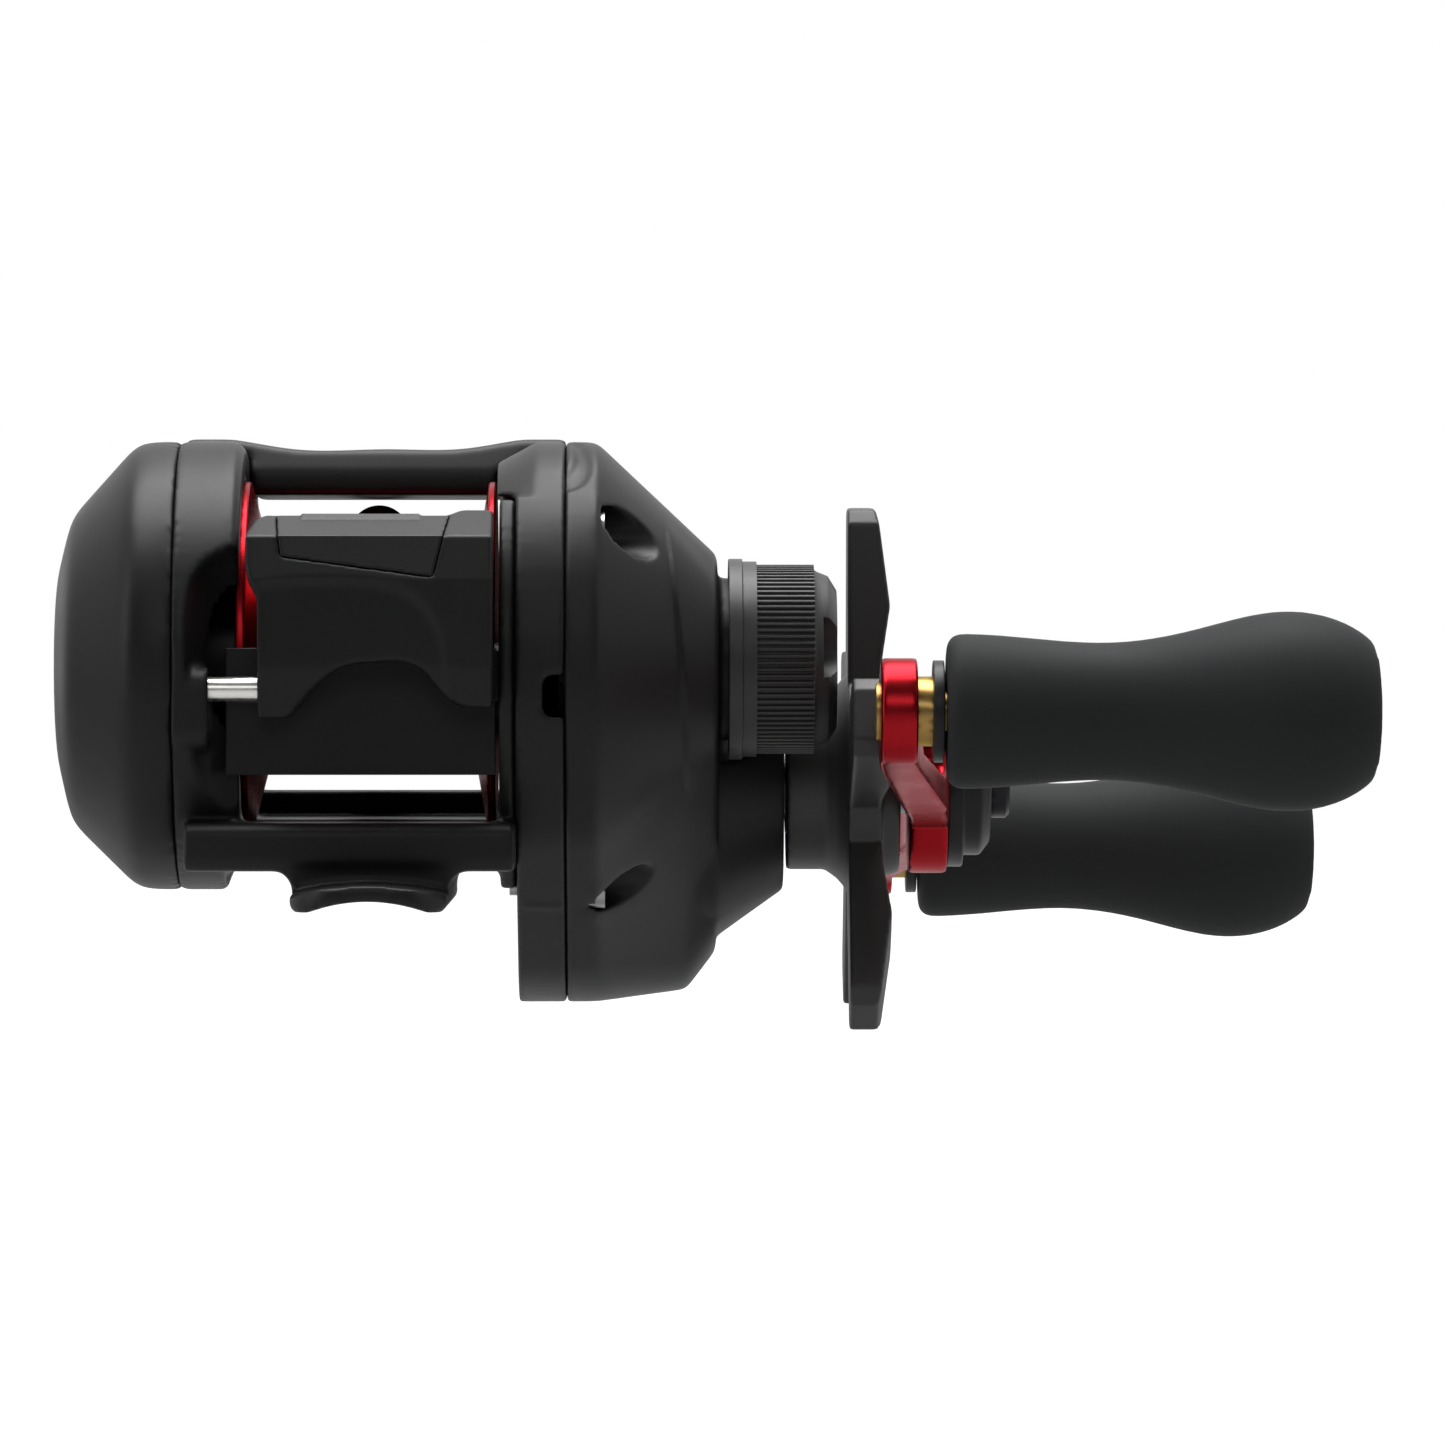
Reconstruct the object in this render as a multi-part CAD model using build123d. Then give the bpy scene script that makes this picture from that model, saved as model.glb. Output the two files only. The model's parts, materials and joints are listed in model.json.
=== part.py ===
from build123d import *
from math import acos, atan2, cos, degrees, hypot, pi, sin
import os

# Low-profile baitcasting reel, right-hand retrieve. Millimetres.
# +X runs along the spool axis towards the handle, +Y forwards to the rod tip, +Z up.
# The origin is the centre of the reel foot's underside, where it sits on the rod.

# ---- driving dimensions ------------------------------------------------------------------
SPOOL = (0.0, 22.8)          # spool axis, as (y, z)
DRIVE = (15.75, 11.3)        # drive shaft axis
WORM = (25.5, 21.7)          # level wind worm axis
GUIDE_ROD = (21.0, 16.6)     # line guide's second rod

BODY = (0.0, 22.2, 20.7)     # body outline's circles, as (y, z, radius)
CHIN = (22.0, 14.5, 11.0)
NOSE = (22.0, 27.0, 14.0)
GEARBOX = (DRIVE[0], DRIVE[1], 20.7)

SEAM_LEFT = -18.0            # x of the palm cover's seam
WALL_LEFT = -12.0            # inner face of the left wall
WALL_RIGHT = 11.6            # inner face of the right wall
PLATE = 13.1                 # right wall's outer face, where the gear side plate starts
SEAM_RIGHT = 17.6            # x of the gear cover's seam
COVER_FACE = 31.6            # gear cover's outer face
SHELL = 1.6                  # casing wall thickness
GAP = 0.3                    # clearance between parts that move past each other
RUN = 0.04                   # radial running clearance of a shaft in its bearing

FLANGE_R = 16.4
ARBOR_R = 9.6
SPOOL_BORE_R = 16.9          # hole in the left wall that the spool comes out through
SHAFT_R = 1.2                # spool shaft where it runs in the pinion

GEAR_TEETH, PINION_TEETH = 101, 14
WIND_TEETH, WORM_TEETH = 34, 23
RATCHET_TEETH = 12
CENTRES = hypot(DRIVE[0] - SPOOL[0], DRIVE[1] - SPOOL[1])
GEAR_MODULE = 2 * CENTRES / (GEAR_TEETH + PINION_TEETH)
WIND_MODULE = 2 * hypot(WORM[0] - DRIVE[0], WORM[1] - DRIVE[1]) / (WIND_TEETH + WORM_TEETH)

CLUTCH_TRAVEL = 3.4          # how far the thumb bar goes down
PINION_TRAVEL = 1.5          # how far the pinion then moves out of the spool
PIN_Y, PIN_Z, PIN_R = -18.45, 20.0, 1.14
SLIDE_Y = (-17.3, -16.7)     # rear and front faces of the clutch slide plate
SLIDE_Z = (12.24, 23.76)
TAB_Z = (19.0, 23.5)         # the slide plate's tab through the right wall
LIFTER = (14.1, 14.8)        # faces of the clutch plate
YOKE = (16.9, 17.7)
YOKE_REACH = 8.0             # from the spool axis to each yoke post

CRANK = 43.0                 # drive shaft to knob
HANDLE_TILT = -9.0           # degrees about +X, from lying straight back
ARM_END, ARM_HUB = (46.1, 49.2), (49.8, 53.2)
KNOB = (51.9, 91.2)          # ends of a knob along its axis
KNOB_PIN_R = 1.75
STAR_R = 25.75
FOOT_LENGTH, FOOT_WIDTH = 62.0, 14.2
FLOOR = (3.5, 7.9)           # underside and top of the frame's floor
HOOD_SKIN = 1.35             # how far the hood stands above the side walls

SCREWS = [(-12.9, 34.3), (-3.1, 1.75), (28.5, 33.0)]   # gear cover screws, as (y, z)
RECESSES = [2.4, 2.1, 2.4]   # radius of the recess over each screw


# ---- helpers -----------------------------------------------------------------------------
def side(sketch, x0, x1):
    """A sketch drawn in (y, z), extruded from x0 to x1."""
    return extrude(Plane.YZ.offset(x0) * sketch, amount=x1 - x0)


def rod(radius, x0, x1, at=SPOOL):
    return side(Pos(at[0], at[1]) * Circle(radius), x0, x1)


def tube(outer, inner, x0, x1, at=SPOOL):
    return rod(outer, x0, x1, at) - rod(inner, x0 - 1, x1 + 1, at)


def block(x, y, z):
    """A box given by its (low, high) ends along each axis."""
    size = [b - a for a, b in (x, y, z)]
    return Pos(x[0], y[0], z[0]) * Box(*size, align=(Align.MIN,) * 3)


def turned(points, at=SPOOL):
    """A solid of revolution about an axis along X, from its (x, radius) outline."""
    return Pos(0, at[0], at[1]) * revolve(make_face(Polyline(*points, close=True)), Axis.X, 360)


def along_y(sketch, y0, y1):
    """A sketch drawn in (x, z), extruded from y0 to y1."""
    return extrude(Plane(origin=(0, y1, 0), x_dir=(1, 0, 0), z_dir=(0, -1, 0)) * sketch, amount=y1 - y0)


def hull(*circles):
    """Convex outline round circles given anticlockwise as (y, z, radius)."""
    normals = []
    for (y0, z0, r0), (y1, z1, r1) in zip(circles, circles[1:] + circles[:1]):
        gap = hypot(y1 - y0, z1 - z0)
        heading = atan2(z1 - z0, y1 - y0)
        normals.append(heading - acos((r0 - r1) / gap))
    edges = []
    for i, (y, z, r) in enumerate(circles):
        start, end = normals[i - 1], normals[i]
        end = start + (end - start) % (2 * pi)
        arc = [(y + r * cos(a), z + r * sin(a)) for a in (start, (start + end) / 2, end)]
        y1, z1, r1 = circles[(i + 1) % len(circles)]
        edges.append(ThreePointArc(*arc))
        edges.append(Line(arc[2], (y1 + r1 * cos(end), z1 + r1 * sin(end))))
    return make_face(edges)


def shrunk(by, *circles):
    return [(y, z, r - by) for y, z, r in circles]


def gear_outline(teeth, module, phase=0.0):
    """Straight-flanked teeth with backlash, one tooth centred on the phase angle."""
    pitch = teeth * module / 2
    rows = [(-1.2, 1.07), (0.85, 0.34)]   # height and half thickness in modules: root, tip
    (root, root_half), (tip, tip_half) = [(pitch + h * module, t * module) for h, t in rows]
    points = []
    for i in range(teeth):
        mid = phase + 2 * pi * i / teeth
        for radius, half in ((root, -root_half), (tip, -tip_half), (tip, tip_half), (root, root_half)):
            angle = mid + half / radius
            points.append((radius * cos(angle), radius * sin(angle)))
    return make_face(Polyline(*points, close=True))


def gear(teeth, module, x0, x1, at, phase=0.0):
    return side(Pos(at[0], at[1]) * gear_outline(teeth, module, phase), x0, x1)


def heading(a, b):
    """Angle of the line from axis a to axis b."""
    return atan2(b[1] - a[1], b[0] - a[0])


def bearing(outer, inner, x0, x1, at):
    """Ball bearing: an outer ring, an inner ring and seven balls between them."""
    wall = (outer - inner) * 0.27
    middle, ball = (outer + inner) / 2, (outer - inner) * 0.22
    rings = [tube(outer, outer - wall, x0, x1, at), tube(inner + wall, inner, x0, x1, at)]
    balls = []
    for i in range(7):
        angle = 2 * pi * i / 7
        centre = ((x0 + x1) / 2, at[0] + middle * cos(angle), at[1] + middle * sin(angle))
        balls.append(Pos(*centre) * Sphere(ball))
    return Compound(children=[Solid(s.solids()[0].wrapped) for s in rings + balls])


def group(shapes):
    return Compound(children=[Solid(s.wrapped) for shape in shapes for s in shape.solids()])


# ---- outlines ----------------------------------------------------------------------------
def palm_outline(inset=0.0):
    return hull(*shrunk(inset, BODY, CHIN, NOSE))


def gear_side_outline(inset=0.0):
    return hull(*shrunk(inset, BODY, GEARBOX, NOSE))


def palm_body(inset=0.0):
    """The palm cover's outer form, or its cavity when inset."""
    full = palm_outline(inset)
    edge = hull(*shrunk(inset, (0, 21.8, 14.2), (18, 15.5, 6.4), (18, 25.0, 8.4)))
    face = hull(*shrunk(inset, (0, 22.0, 8.4), (12.0, 19.5, 4.2), (12.0, 23.5, 5.2)))
    steps = [SEAM_LEFT, -21.8, -28.0 + inset, -29.4 + inset]
    shape = side(full, steps[1], steps[0])
    for (a, xa), (b, xb) in (((full, steps[1]), (edge, steps[2])), ((edge, steps[2]), (face, steps[3]))):
        shape += loft([Plane.YZ.offset(xa) * a, Plane.YZ.offset(xb) * b], ruled=True)
    return shape


def cover_body(inset=0.0):
    """The gear cover's outer form, or its cavity when inset."""
    full = gear_side_outline(inset)
    edge = hull(*shrunk(inset, (0, 22.2, 12.8), (20.0, 3.6, 12.0), (21.0, 24.5, 9.2)))
    face = hull(*shrunk(inset, (0, 22.2, 10.2), (17.0, 8.0, 12.6), (19.0, 21.5, 7.2)))
    steps = [SEAM_RIGHT, 20.4, 28.8 - inset, COVER_FACE - inset]
    shape = side(full, steps[0], steps[1])
    for (a, xa), (b, xb) in (((full, steps[1]), (edge, steps[2])), ((edge, steps[2]), (face, steps[3]))):
        shape += loft([Plane.YZ.offset(xa) * a, Plane.YZ.offset(xb) * b], ruled=True)
    return shape


# ---- frame body --------------------------------------------------------------------------
def foot():
    """Arched plate that the rod's reel seat clamps, with rounded toes and a stem up to the floor."""
    half = FOOT_WIDTH / 2
    right = Polyline((5.3, 0), (half - 0.4, 0), (half, 0.6), (half, 1.6))
    left = Polyline((-half, 1.6), (-half, 0.6), (-half + 0.4, 0), (-5.3, 0))
    arches = [ThreePointArc((half, 1.6), (0, 2.45), (-half, 1.6)), ThreePointArc((-5.3, 0), (0, 1.0), (5.3, 0))]
    plate = along_y(make_face([right, left] + arches), -FOOT_LENGTH / 2, FOOT_LENGTH / 2)
    plan = extrude(RectangleRounded(FOOT_WIDTH + 0.2, FOOT_LENGTH, 5.5), amount=6)
    stem_sketch = Pos(0, 2.6) * Rectangle(FOOT_WIDTH, 2.6)
    stem = along_y(stem_sketch, -19.5, 24.0)
    for s in (-1, 1):
        corner = Pos(s * (half + 0.8), FLOOR[0] - 0.7) * Rectangle(2.0, 2.0)
        stem += along_y(corner - Pos(s * (half + 1.9), FLOOR[0] - 1.8) * Circle(1.9), -19.5, 24.0)
    return (plate & plan) + stem


def left_blank():
    """The left wall before anything is cut in it."""
    wall = side(palm_outline(), SEAM_LEFT, WALL_LEFT)
    return chamfer(wall.edges().group_by(Axis.X)[-1], 0.7)


def thumb_scoop():
    """Rounded hollow down the rear inner corner of the left wall, where the thumb bar's plate runs."""
    x, y, radius, top = WALL_LEFT + 1.4, -21.6, 6.2, 29.0
    scoop = extrude(Pos(x, y, FLOOR[1]) * Circle(radius), amount=top - FLOOR[1])
    return scoop + Pos(x, y, top) * scale(Sphere(radius), by=(1, 1, 0.9))


def left_wall():
    wall = left_blank() - block((-13.6, WALL_LEFT + 1), (-40, 60), (-10, FLOOR[0]))
    wall -= rod(SPOOL_BORE_R, SEAM_LEFT - 1, WALL_LEFT + 1) + thumb_scoop()
    boss = SlotCenterToCenter(CLUTCH_TRAVEL, 4.2, rotation=90)
    wall += side(Pos(PIN_Y, PIN_Z - CLUTCH_TRAVEL / 2) * boss, SEAM_LEFT, -14.6)
    slot = SlotCenterToCenter(CLUTCH_TRAVEL, 2 * PIN_R + 2 * GAP, rotation=90)
    wall -= side(Pos(PIN_Y, PIN_Z - CLUTCH_TRAVEL / 2) * slot, -17.1, -14.0)
    wall -= rod(3.2, -17.0, WALL_LEFT + 1, WORM)
    return wall - rod(1.05, -15.4, WALL_LEFT + 1, GUIDE_ROD)


def right_wall():
    wall = side(gear_side_outline(0.6), WALL_RIGHT, PLATE)
    wall -= side(gear_side_outline(-1) - gear_side_outline(2.6), WALL_RIGHT - 1, PLATE + 1) & block(
        (0, 20), (-40, 40), (37.3, 60))
    wall -= block((WALL_RIGHT - 1, PLATE), (-60, 60), (-30, 1.7))
    return wall - side_openings()


def side_openings():
    """What passes through the right wall and the gear side plate's floor."""
    cut = rod(2.2, WALL_RIGHT - 1, 14.6) + rod(5.5, 12.2, 14.6, DRIVE)
    cut += rod(3.2, WALL_RIGHT - 1, 14.6, WORM)
    window_y = (SLIDE_Y[0] - GAP, SLIDE_Y[1] + GAP)
    window_z = (TAB_Z[0] - CLUTCH_TRAVEL - GAP, TAB_Z[1] + GAP)
    return cut + block((WALL_RIGHT - 1, 14.6), window_y, window_z)


def reel_frame():
    """One casting: both walls, the floor between them, the front sill and the foot."""
    floor = block((-16.9, PLATE), (-20.0, 30.5), FLOOR)
    sill = block((WALL_LEFT - 1, PLATE), (28.0, 30.5), (FLOOR[0], 10.4))
    rear = chamfer((floor + sill).edges().filter_by(Axis.X).group_by(Axis.Y)[0], 0.8)
    rear -= rod(17.3, WALL_LEFT - 2, WALL_RIGHT + 2)
    frame = left_wall() + right_wall() + rear + foot()
    frame -= rod(SPOOL_BORE_R, SEAM_LEFT - 1, WALL_LEFT) + side_openings()
    for at in SCREWS:
        frame -= rod(0.75, WALL_RIGHT - 1, PLATE + 1, at)
    return frame - rod(1.05, WALL_RIGHT - 1, WALL_RIGHT + 0.8, GUIDE_ROD)


def plate_blank():
    """The gear side plate's outer form; above the right wall it slopes in over the wall's top."""
    lip, slope_end, wall_top = 11.2, 14.9, 37.6
    above = block((0, SEAM_RIGHT), (-60, 60), (wall_top, 60))
    ends = [Plane.YZ.offset(lip) * gear_side_outline(2.0), Plane.YZ.offset(slope_end) * gear_side_outline()]
    slope = loft(ends, ruled=True)
    top = (slope + side(gear_side_outline(), slope_end, SEAM_RIGHT)) & above
    return top + (side(gear_side_outline(), PLATE, SEAM_RIGHT) - above)


def top_hood():
    """Bar across the top front, over both side walls, waisted between them."""
    over = hull(*shrunk(-HOOD_SKIN, BODY, CHIN, NOSE))
    section = Polyline((7.8, 38.1), (7.8, 40.3), (10.6, 45.0), (29.5, 45.0), (29.5, 38.1), close=True)
    hood = side(over & make_face(section), SEAM_LEFT, SEAM_RIGHT)
    hood -= left_blank() + plate_blank() + side(gear_side_outline(), SEAM_RIGHT - 4, SEAM_RIGHT + 1)
    waist = Spline((-15, 43.6), (-11.5, 43.05), (-8, 42.5), (-4, 42.36), (0.5, 42.5), (5, 42.42), (8.5, 42.6),
                   (11.5, 43.1), (15, 43.6))
    above = make_face([waist, Polyline((15, 43.6), (15, 50), (-15, 50), (-15, 43.6))])
    return hood - along_y(above, 0, 40)


def gear_side_plate():
    """Inner half of the gear case: a shallow dish bolted on the right wall, with its posts."""
    dish = plate_blank()
    dish -= side(gear_side_outline(2.4), 10, PLATE)
    dish -= side(gear_side_outline(SHELL), PLATE + 0.7, SEAM_RIGHT + 1)
    dish += rod(6.6, PLATE, 14.4, DRIVE) + rod(4.3, PLATE, 14.4, WORM)
    dish -= side_openings()
    dish -= along_y(Pos(17.6, 19.4) * RectangleRounded(4.0, 3.8, 0.9), -25, -17)
    for at in SCREWS:
        dish += rod(2.2, PLATE + 0.5, SEAM_RIGHT, at)
        dish -= rod(0.75, PLATE - 1, SEAM_RIGHT + 1, at)
    for at in yoke_posts():
        dish += rod(0.9, PLATE + 0.5, 26.4, at)
    return dish + rod(0.9, PLATE + 0.5, 16.65, PAWL_PIVOT)


def gear_cover():
    """Outer half of the gear case, with the boss for the cast control cap and the drive boss."""
    outer = cover_body()
    cover = outer - (cover_body(SHELL) - block((31.0 - SHELL, 40), (-50, 50), (-50, 60)))
    cover -= side(gear_side_outline(SHELL), SEAM_RIGHT - 1, SEAM_RIGHT + 0.2)
    for at in SCREWS:
        cover += rod(3.3, SEAM_RIGHT, 40, at) & outer
    for at in yoke_posts():
        cover += rod(2.0, 26.4, 30, at)
    cover += rod(7.5, 28.5, 33.4) + rod(7.0, 33.4, 38.1) + rod(6.2, 27.4, 30)
    drive_boss = turned([(27.0, 0), (27.0, 9.6), (29.0, 13.0), (30.0, 14.6), (COVER_FACE, 14.6), (37.9, 10.1),
                         (37.9, 0)], DRIVE)
    cover += drive_boss - rod(9.75, COVER_FACE, 45)
    cover -= rod(3.1, 27, 35.0) + rod(5.0, 27.6, 29.3) + rod(4.5, 35.0, 37.5) + rod(2.4, 37, 45)
    cover -= rod(8.1, 26, 36.8, DRIVE) + rod(5.0, 36, 40, DRIVE)
    cover -= rod(GEAR_TEETH * GEAR_MODULE / 2 + 0.65, 19.0, 24.4, DRIVE)
    for at, radius in zip(SCREWS, RECESSES):
        cover -= rod(radius, 19.6, 45, at) + rod(0.75, SEAM_RIGHT - 1, 20, at)
    return cover


def cover_screws():
    screws = []
    for y, z in SCREWS:
        head = rod(1.9, 19.6, 21.2, (y, z)) - block((20.6, 22), (y - 3, y + 3), (z - 0.3, z + 0.3))
        screws.append(head + rod(0.75, 12.4, 19.6, (y, z)))
    return group(screws)


def yoke_posts():
    across = heading(DRIVE, SPOOL) - pi / 2
    step = (YOKE_REACH * cos(across), YOKE_REACH * sin(across))
    return [(SPOOL[0] + s * step[0], SPOOL[1] + s * step[1]) for s in (1, -1)]


def yoke_springs():
    """Two compression springs round the yoke posts, held between the yoke and the cover."""
    wire, radius, start, length = 0.22, 1.35, YOKE[1] + 0.22, 8.26
    coil = Helix(pitch=length / 6, height=length, radius=radius)
    end = Plane(origin=coil @ 0, z_dir=coil % 0)
    spring = sweep(end * Circle(wire), path=coil)
    spring = Rot(0, 90, 0) * spring
    return group([Pos(start, y, z) * spring for y, z in yoke_posts()])


def roller_clutch():
    """One-way bearing: a cup with eight needle rollers round the clutch sleeve."""
    cup = tube(8.1, 6.5, 27.4, 36.7, DRIVE)
    rollers = []
    for i in range(8):
        angle = 2 * pi * i / 8
        rollers.append(rod(0.85, 28.0, 36.1, (DRIVE[0] + 5.6 * cos(angle), DRIVE[1] + 5.6 * sin(angle))))
    return group([cup] + rollers)


def level_wind_tube():
    barrel = tube(3.6, 3.05, WALL_LEFT, WALL_RIGHT, WORM)
    return barrel - block((-10.4, 10.4), (WORM[0] - 1.3, WORM[0] + 1.3), (WORM[1] - 5, WORM[1]))


def worm_bushings():
    ends = [(-16.0, WALL_LEFT - 0.1), (WALL_RIGHT + 0.1, 14.4)]
    return group([tube(3.2, 1.5 + RUN, x0, x1, WORM) for x0, x1 in ends])


# ---- palm cover body ---------------------------------------------------------------------
LEVER_PIVOT, LEVER_TIP = (21.5, 8.2), (30.4, 6.0)


def lever_shape(clearance=0.0):
    return hull((LEVER_PIVOT[0], LEVER_PIVOT[1], 1.9 + clearance), (LEVER_TIP[0], LEVER_TIP[1], 1.4 + clearance))


def lever_pocket():
    """Room for the lever over its whole swing."""
    shape = lever_shape(0.4)
    pivot = Pos(*LEVER_PIVOT)
    for angle in (8, 16, 24, 32):
        shape += pivot * Rot(0, 0, -angle) * Pos(-LEVER_PIVOT[0], -LEVER_PIVOT[1]) * lever_shape(0.4)
    return side(shape, -21.6, -18.8)


def palm_side_cover():
    shell = palm_body() - palm_body(SHELL)
    shell -= side(palm_outline(SHELL), SEAM_LEFT - 0.5, SEAM_LEFT + 1)
    boss = rod(2.6, -23.9, -21.6, LEVER_PIVOT) & palm_body()
    shell += boss - rod(0.9 + RUN, -22.8, -21, LEVER_PIVOT)
    shell += tube(6.4, 4.9, -28.4, -23.0)
    return shell - lever_pocket()


def release_lever():
    return side(lever_shape(), -21.2, -19.2) + rod(0.9, -22.6, -21.2, LEVER_PIVOT)


def brake_case():
    """Round plate that closes the frame's left wall, with the brake drum and the left bearing seat."""
    case = tube(16.5, 4.5, -17.6, -16.2) + tube(6.0, 4.5, -22.0, -16.2)
    case += tube(6.0, 2.2, -23.0, -22.0) + tube(8.2, 7.4, -16.2, -5.4)
    for i in range(6):
        angle = 2 * pi * (i + 0.5) / 6
        at = (SPOOL[0] + 12.2 * cos(angle), SPOOL[1] + 12.2 * sin(angle))
        case -= rod(1.6, -18, -16, at)
    return case


# ---- spool body --------------------------------------------------------------------------
def spool():
    inner = ARBOR_R - 0.9
    points = [(-4.0, 1.5), (8.0, 1.5), (8.0, 2.8), (-2.8, 2.8), (-2.8, inner), (9.8, inner), (11.2, 15.6),
              (11.2, FLANGE_R), (10.5, FLANGE_R), (9.3, ARBOR_R), (-9.7, ARBOR_R), (-11.5, FLANGE_R),
              (-12.4, FLANGE_R), (-12.4, 15.6), (-10.6, inner), (-4.0, inner)]
    return turned(points)


def spool_shaft():
    """Shaft with the cross pin that drives it from the pinion."""
    shaft = turned([(-21.4, 0), (-21.4, SHAFT_R), (-5.8, SHAFT_R), (-5.8, 1.5), (12.0, 1.5), (12.0, SHAFT_R),
                    (38.2, SHAFT_R), (38.4, 0.8), (38.4, 0)])
    pin = Pos(15.6, SPOOL[0], SPOOL[1]) * Rot(90, 0, 0) * Cylinder(0.5, 5.2)
    return group([shaft - pin, pin])


def brake_hub():
    hub = turned([(-8.6, SHAFT_R), (-8.6, 3.4), (-5.9, 3.4), (-5.9, SHAFT_R)])
    for i in range(4):
        hub += turn_about_spool(i) * Pos(-7.25, 4.9, 0) * Rot(90, 0, 0) * Cylinder(0.5, 3.9)
    return hub


def turn_about_spool(i):
    """Quarter turns about the spool axis, from a brake arm that points along +Y."""
    return Pos(0, SPOOL[0], SPOOL[1]) * Rot(90.0 * i + 45.0, 0, 0)


def brake_shoe(i):
    """Weight that slides out along an arm of the hub and rubs on the drum."""
    shoe = Box(2.2, 1.5, 2.4) - Rot(90, 0, 0) * Cylinder(0.5 + 2 * RUN, 4)
    return turn_about_spool(i) * Pos(-7.25, 4.5, 0) * shoe


# ---- gear train --------------------------------------------------------------------------
def drive_shaft():
    return turned([(12.5, 0), (12.5, 3.0), (18.9, 3.0), (18.9, 9.0), (19.5, 9.0), (19.5, 3.0), (55.9, 3.0),
                   (55.9, 0)], DRIVE) - rod(0.9, 50, 60, DRIVE)


def drive_gear():
    wheel = gear(GEAR_TEETH, GEAR_MODULE, 19.5, 23.5, DRIVE, heading(DRIVE, SPOOL))
    wheel -= rod(14.6, 21.5, 25, DRIVE) + rod(3.0, 19, 25, DRIVE)
    for i in range(5):
        angle = 2 * pi * i / 5
        wheel -= rod(2.6, 19, 25, (DRIVE[0] + 8.8 * cos(angle), DRIVE[1] + 8.8 * sin(angle)))
    return wheel


def drag_pressure_plate():
    """Metal plate keyed to the shaft, over the drag washer, with a raised hub for the sleeve."""
    return tube(14.2, 3.0 + RUN, 22.2, 23.0, DRIVE) + tube(5.6, 3.0 + RUN, 23.0, 23.9, DRIVE)


def ratchet_wheel():
    points = []
    for i in range(RATCHET_TEETH):
        start = 2 * pi * i / RATCHET_TEETH
        for radius, share in ((5.8, 0.0), (7.0, 0.62), (7.0, 0.72), (5.8, 0.74)):
            angle = start + share * 2 * pi / RATCHET_TEETH
            points.append((DRIVE[0] + radius * cos(angle), DRIVE[1] + radius * sin(angle)))
    return side(make_face(Polyline(*points, close=True)), 15.6, 16.6) - rod(3.0, 15, 17, DRIVE)


PAWL_PIVOT = (9.1, 3.7)


def anti_reverse_pawl():
    """Pawl on its post, lifted clear of the ratchet wheel as it is while winding in."""
    angle = pi + 2 * pi / RATCHET_TEETH * 0.30
    tip = (DRIVE[0] + 7.75 * cos(angle), DRIVE[1] + 7.75 * sin(angle))
    pawl = side(hull((PAWL_PIVOT[0], PAWL_PIVOT[1], 1.9), (tip[0], tip[1], 0.35)), 15.7, 16.5)
    return pawl - rod(0.9 + RUN, 15, 17, PAWL_PIVOT)


def level_wind_drive_gear():
    wheel = gear(WIND_TEETH, WIND_MODULE, 17.0, 18.5, DRIVE, heading(DRIVE, WORM))
    return wheel - rod(3.0, 16, 19, DRIVE)


def worm_gear():
    phase = heading(WORM, DRIVE) + pi / WORM_TEETH
    return gear(WORM_TEETH, WIND_MODULE, 17.0, 18.5, WORM, phase) - rod(1.5, 16, 19, WORM)


def pinion_gear():
    phase = heading(SPOOL, DRIVE) + pi / PINION_TEETH
    head, groove = 14.9, (YOKE[0] - GAP, YOKE[1] + GAP)
    pinion = turned([(head, 0), (head, 3.0), (groove[0], 3.0), (groove[0], 2.0), (groove[1], 2.0),
                     (groove[1], 1.9), (25.6, 1.9), (25.6, 2.1), (29.6, 2.1), (29.6, 0)])
    pinion += gear(PINION_TEETH, GEAR_MODULE, groove[1], 25.6, SPOOL, phase)
    pinion -= rod(SHAFT_R + 0.06, 14, 30)
    return pinion - block((14, 16.2), (-4, 4), (SPOOL[1] - 0.56, SPOOL[1] + 0.56))


def pinion_yoke():
    """Fork plate in the pinion's groove, on two posts, with the feet that the clutch ramps lift."""
    across = degrees(heading(DRIVE, SPOOL)) - 90
    bar = Pos(*SPOOL) * Rot(0, 0, across) * SlotCenterToCenter(2 * YOKE_REACH, 5.0)
    yoke = side(bar, *YOKE) + rod(5.2, *YOKE)
    for y in (-4.0, 4.0):
        yoke += rod(0.6, LIFTER[1] + 0.65, YOKE[0] + 0.3, (SPOOL[0] + y, SPOOL[1]))
    mouth = Pos(*SPOOL) * Rot(0, 0, across) * Pos(0, 4) * Rectangle(4.16, 8)
    yoke -= rod(2.08, 15, 19) + side(mouth, YOKE[0] - 0.1, 19)
    for at in yoke_posts():
        yoke -= rod(0.9 + 2 * RUN, 15, 19, at)
    return yoke


def clutch_slide_plate():
    return block((-13.2, 11.3), SLIDE_Y, SLIDE_Z) + block((11.0, LIFTER[0]), SLIDE_Y, TAB_Z)


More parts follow.
